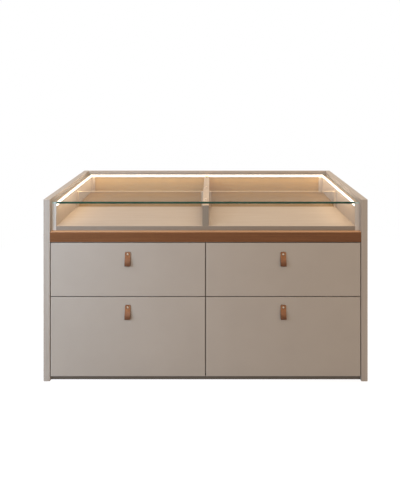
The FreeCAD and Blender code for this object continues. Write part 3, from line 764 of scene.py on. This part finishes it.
class ISLAND_OT_leather_loops(bpy.types.Operator):
    """Fold a leather strap into a loop, crease it and hang a copy on each drawer"""
    bl_idname = "island.leather_loops"
    bl_label = "Leather Loops"

    columns = 24                     # faces across the strap
    corner_rows = 5                  # rows in each rounded end, in the fold and in each swing
    fold_rows = 16
    swing_rows = 9
    row = 0.0028                     # spacing of the rows along the straight stretches
    dark_below = 0.014               # up to this height above the fold, the painted shade is full
    unshaded_above = 0.045              # and from this height on not at all
    stud_shade = 0.0095                    # radius of the painted shade round the stud
    stud_shade_soft = 0.0035               # width of its soft edge
    stud_shade_dark = 0.7                  # how dark it is beside the fold

    def fold_strap(self, sizes):
        """The strap's middle surface, extruded and spun from its rear end to its front end."""
        wide = STRAP_HIGH.x - STRAP_LOW.x
        deep = STRAP_HIGH.y - STRAP_LOW.y
        layer = sizes.leather
        middle = (STRAP_LOW.x + STRAP_HIGH.x) / 2
        fold = deep / 2
        fold_z = STRAP_LOW.z + fold
        split_z = STRAP_LOW.z + sizes.split
        out = deep - 2 * layer
        bend = (out ** 2 + (split_z - fold_z) ** 2) / (4 * out)
        turn = math.asin((split_z - fold_z) / 2 / bend)

        def from_wall(distance):
            return STRAP_HIGH.y - distance

        def rise(height):
            bpy.ops.mesh.extrude_region_move(TRANSFORM_OT_translate={"value": (0, 0, height)})

        def straight(height):
            count = max(1, round(abs(height) / self.row))
            for _ in range(count):
                rise(height / count)

        def spin(steps, angle, distance, z):
            bpy.ops.mesh.spin(steps=steps, angle=angle, axis=(1, 0, 0),
                              center=(middle, from_wall(distance), z))

        def half_width(angle):
            return wide / 2 - sizes.corner * (1 - math.cos(angle))

        def rounded_end(angles, direction):
            """Rows along a quarter circle, which widen or narrow the strap."""
            for before, after in zip(angles, angles[1:]):
                rise(direction * sizes.corner * abs(math.sin(after) - math.sin(before)))
                ratio = half_width(after) / half_width(before)
                bpy.ops.transform.resize(value=(ratio, 1, 1), center_override=(middle, 0, 0))

        start_alone()
        bpy.ops.mesh.primitive_grid_add(x_subdivisions=self.columns, y_subdivisions=1, size=wide,
                                        location=(middle, 0, STRAP_HIGH.z))
        strap = bpy.context.object
        bpy.ops.object.transform_apply(location=True)
        pick(strap, lambda vertex: vertex.co.y > 0)
        bpy.ops.mesh.delete(type="VERT")
        bpy.ops.mesh.select_all(action="SELECT")
        bpy.ops.transform.translate(value=(0, from_wall(layer / 2) + wide / 2, 0))
        narrowest = half_width(math.pi / 2) / (wide / 2)
        bpy.ops.transform.resize(value=(narrowest, 1, 1), center_override=(middle, 0, 0))
        quarter = [math.pi / 2 * index / self.corner_rows
                   for index in range(self.corner_rows + 1)]
        rounded_end(quarter[::-1], -1)
        straight(fold_z + sizes.corner - STRAP_HIGH.z)
        spin(self.fold_rows, math.pi, fold, fold_z)
        spin(self.swing_rows, turn, deep - layer / 2 - bend, fold_z)
        spin(self.swing_rows, -turn, 1.5 * layer + bend, split_z)
        straight(STRAP_HIGH.z - sizes.corner - split_z)
        rounded_end(quarter, 1)
        bpy.ops.mesh.select_all(action="SELECT")
        bpy.ops.mesh.normals_make_consistent(inside=False)
        return strap, middle

    def crease(self, strap, middle, sizes):
        """Press a line in along both edges, and swell the leather between them."""
        inset = (STRAP_HIGH.x - STRAP_LOW.x) / 2 - sizes.crease_in
        near = sizes.crease_in / 8
        shoulder = 3 * near
        corners = STRAP_HIGH.z - sizes.corner - near
        pick(strap, lambda vertex: vertex.co.z < corners
             and abs(abs(vertex.co.x - middle) - inset) < near)
        bpy.ops.transform.shrink_fatten(value=-sizes.crease_deep)
        pick(strap, lambda vertex: vertex.co.z < corners
             and abs(vertex.co.x - middle) < inset - shoulder)
        bpy.ops.transform.shrink_fatten(value=sizes.crown)

    def thicken(self, strap, sizes):
        """Give the leather its thickness and its rubbed edges."""
        bpy.ops.object.mode_set(mode="OBJECT")
        colours = bpy.context.scene.island_colours
        strap.data.materials.append(leather_finish(colours.leather))
        strap.data.materials.append(leather_edge_finish(colours.leather))
        apply_modifier(strap, "SOLIDIFY", thickness=sizes.leather - sizes.leather_gap, offset=0,
                       use_even_offset=True, material_offset_rim=1)
        apply_modifier(strap, "BEVEL", width=sizes.edge_round, segments=3,
                       limit_method="ANGLE", angle_limit=math.radians(60))
        apply_modifier(strap, "SUBSURF", levels=1, render_levels=1)
        bpy.ops.object.shade_smooth_by_angle(angle=math.radians(50))

    def mark_painted_shade(self, strap):
        """Note on the leather how much painted shade each spot takes, near the fold and round the
        stud.
        """
        note = strap.data.attributes.new("handled", "FLOAT", "POINT")
        stud = (STUD_LOW + STUD_HIGH) / 2
        for vertex, spot in zip(strap.data.vertices, note.data):
            height = vertex.co.z - STRAP_LOW.z
            near_fold = (self.unshaded_above - height) / (self.unshaded_above - self.dark_below)
            reach = (vertex.co - stud).xz.length
            near_stud = self.stud_shade_dark * min(1, (self.stud_shade - reach) / self.stud_shade_soft)
            spot.value = max(0, near_stud, min(1, near_fold))

    def execute(self, context):
        sizes = context.scene.island_sizes
        strap, middle = self.fold_strap(sizes)
        self.crease(strap, middle, sizes)
        self.thicken(strap, sizes)
        self.mark_painted_shade(strap)
        hang_on_drawers(strap, "leather_loop", "_strap")
        return {"FINISHED"}


class ISLAND_OT_studs(bpy.types.Operator):
    """Cut a dome from a sphere, give it a rim and set a copy in each leather loop"""
    bl_idname = "island.studs"
    bl_label = "Studs"

    def execute(self, context):
        sizes = context.scene.island_sizes
        centre = (STUD_LOW + STUD_HIGH) / 2
        rim_radius = (STUD_HIGH.x - STUD_LOW.x) / 2
        seat = STRAP_HIGH.y - 2 * sizes.leather
        rim = seat - sizes.stud_rim
        dome = rim - STUD_LOW.y
        radius = (rim_radius ** 2 + dome ** 2) / (2 * dome)
        start_alone()
        bpy.ops.mesh.primitive_uv_sphere_add(
            segments=48, ring_count=32, radius=radius, rotation=(math.radians(90), 0, 0),
            location=(centre.x, STUD_LOW.y + radius, centre.z))
        stud = bpy.context.object
        bpy.ops.object.transform_apply(location=True, rotation=True)
        bpy.ops.object.mode_set(mode="EDIT")
        bpy.ops.mesh.select_all(action="SELECT")
        bpy.ops.mesh.bisect(plane_co=(centre.x, rim, centre.z), plane_no=(0, 1, 0),
                            clear_outer=True, use_fill=False)
        bpy.ops.mesh.extrude_region_move(
            TRANSFORM_OT_translate={"value": (0, sizes.stud_rim, 0)})
        bpy.ops.mesh.edge_face_add()
        bpy.ops.mesh.select_all(action="SELECT")
        bpy.ops.mesh.normals_make_consistent(inside=False)
        bpy.ops.object.mode_set(mode="OBJECT")
        apply_modifier(stud, "BEVEL", width=sizes.stud_rim / 3, segments=3,
                       limit_method="ANGLE", angle_limit=math.radians(25))
        bpy.ops.object.shade_smooth_by_angle(angle=math.radians(40))
        brass = context.scene.island_colours.stud
        stud.data.materials.append(metal_finish("screw_metal", brass, roughness=0.3,
                                                scale=(900, 900, 900)))
        hang_on_drawers(stud, "stud", "_strap_screw")
        return {"FINISHED"}


class ISLAND_OT_stage(bpy.types.Operator):
    """Lay the floor and set the lamps, the surrounding light and the camera"""
    bl_idname = "island.stage"
    bl_label = "Stage"

    floor_wide = 60
    shaded_to = 1.0                  # distances from the middle between which the floor turns
    white_from = 2.2                 # into the white background
    floor_grey = (0.28, 0.28, 0.28, 1)
    floor_glow = 0.84                # lifts the shaded part nearly to white
    white = (1, 1, 1, 1)
    room_lamps = (                   # name, setting, place, size, colour, target, spread
        ("window_light", "key_power", (-1.7, -1.5, 1.4), (0.8, 1.6), (0.54, 0.74, 1.0),
         (-0.8, -0.3, 0.5), 180),
        ("window_beam", "beam_power", (-1.35, -2.0, 1.5), (0.8, 1.4), (0.58, 0.78, 1.0),
         (-1.0, -0.3, 0.5), 70),
        ("warm_light", "warm_power", (0.9, -2.9, 2.0), (2.6, 1.8), (1.0, 0.76, 0.52),
         (0.3, -0.3, 0.5), 180),
        ("top_light", "top_power", (0, -0.6, 3.0), (3.0, 2.2), (1.0, 0.8, 0.55),
         (0, 0, 0.5), 180),
        ("back_light", "back_power", (0.4, 3.0, 3.6), (3.0, 2.0), (1.0, 0.78, 0.48),
         (0, 0, 0.5), 180))

    def lay_floor(self):
        """A floor that takes shadows near the island and is as white as the room farther off."""
        start_alone()
        bpy.ops.mesh.primitive_plane_add(size=self.floor_wide)
        floor = bpy.context.object
        floor.name = "studio_floor"
        material = bpy.data.materials.new("studio_floor")
        material.use_nodes = True
        tree = material.node_tree
        tree.nodes.clear()
        place = add_node(tree, "TexCoord").outputs["Object"]
        away = add_node(tree, "VectorMath", {0: place}, operation="LENGTH")
        far = ramp(tree, away.outputs["Value"], self.shaded_to, self.white_from)
        lit = add_node(tree, "BsdfDiffuse", {"Color": self.floor_grey})
        glow = add_node(tree, "Emission", {"Color": self.white, "Strength": self.floor_glow})
        near = add_node(tree, "AddShader", {0: lit.outputs[0], 1: glow.outputs[0]})
        white = add_node(tree, "Emission", {"Color": self.white, "Strength": 1.0})
        seen = add_node(tree, "MixShader", {0: far, 1: near.outputs[0], 2: white.outputs[0]})
        whole = add_node(tree, "MixShader", {0: self.sees_background(tree),
                                             1: lit.outputs[0], 2: seen.outputs[0]})
        output = add_node(tree, "OutputMaterial")
        tree.links.new(whole.outputs[0], output.inputs["Surface"])
        floor.data.materials.append(material)

    def sees_background(self, tree):
        """A mask for rays that show the background: direct, mirrored or through glass."""
        return any_ray(tree, "Is Camera Ray", "Is Glossy Ray", "Is Transmission Ray")

    def light_room(self, context, rgb, strength):
        """Even light from all sides, with a white background."""
        world = bpy.data.worlds.new("studio_room")
        context.scene.world = world
        world.use_nodes = True
        tree = world.node_tree
        tree.nodes.clear()
        even = add_node(tree, "Background", {"Color": opaque(rgb), "Strength": strength})
        white = add_node(tree, "Background", {"Color": self.white, "Strength": 1.0})
        mix = add_node(tree, "MixShader", {0: self.sees_background(tree), 1: even.outputs[0],
                                           2: white.outputs[0]})
        output = add_node(tree, "OutputWorld")
        tree.links.new(mix.outputs[0], output.inputs["Surface"])

    def set_camera(self, context, stage):
        """A level camera, shifted so that the depth lines meet in the vanishing point."""
        width, height = PICTURE
        camera = bpy.data.cameras.new("viewpoint")
        camera.sensor_fit = "HORIZONTAL"
        camera.sensor_width = 36
        camera.lens = stage.lens
        camera.shift_x = (width / 2 - VANISHING_POINT[0]) / width
        camera.shift_y = (VANISHING_POINT[1] - height / 2) / width
        holder = bpy.data.objects.new("viewpoint", camera)
        context.scene.collection.objects.link(holder)
        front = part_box("gable_left")[0].y
        holder.location = (stage.aside, front - stage.distance, stage.eye_height)
        holder.rotation_euler = (math.radians(90), 0, 0)
        context.scene.camera = holder

    def execute(self, context):
        stage = context.scene.island_stage
        self.lay_floor()
        self.light_room(context, context.scene.island_colours.room, stage.surround)
        for name, power, place, size, rgb, target, spread in self.room_lamps:
            lamp = hang_lamp(name, place, size, getattr(stage, power), rgb, target)
            lamp.data.spread = math.radians(spread)
        self.set_camera(context, stage)
        context.scene.view_settings.view_transform = "Standard"
        return {"FINISHED"}


class ISLAND_PT_finish(bpy.types.Panel):
    """Lists the steps that finish the island"""
    bl_label = "Closet Island"
    bl_idname = "ISLAND_PT_finish"
    bl_space_type = "VIEW_3D"
    bl_region_type = "UI"
    bl_category = "Island"

    def draw(self, context):
        for step in STEPS:
            self.layout.operator(step.bl_idname)
        for name in SETTINGS:
            group = getattr(context.scene, name)
            box = self.layout.box()
            for setting in group.bl_rna.properties:
                if setting.identifier not in ("rna_type", "name"):
                    box.prop(group, setting.identifier)


SETTINGS = {"island_colours": IslandColours, "island_sizes": IslandSizes,
            "island_stage": IslandStage}
STEPS = (ISLAND_OT_shared_effects, ISLAND_OT_gables_and_back, ISLAND_OT_carcass,
         ISLAND_OT_walnut_band, ISLAND_OT_display_case, ISLAND_OT_light_strips,
         ISLAND_OT_drawers, ISLAND_OT_leather_loops, ISLAND_OT_studs, ISLAND_OT_stage)


def register():
    for group in SETTINGS.values():
        bpy.utils.register_class(group)
    for name, group in SETTINGS.items():
        setattr(bpy.types.Scene, name, PointerProperty(type=group))
    for step in (*STEPS, ISLAND_PT_finish):
        bpy.utils.register_class(step)


def unregister():
    for step in reversed((*STEPS, ISLAND_PT_finish)):
        bpy.utils.unregister_class(step)
    for name, group in SETTINGS.items():
        delattr(bpy.types.Scene, name)
        bpy.utils.unregister_class(group)


def main():
    register()
    for step in STEPS:
        family, name = step.bl_idname.split(".")
        getattr(getattr(bpy.ops, family), name)()


if __name__ == "__main__":
    main()
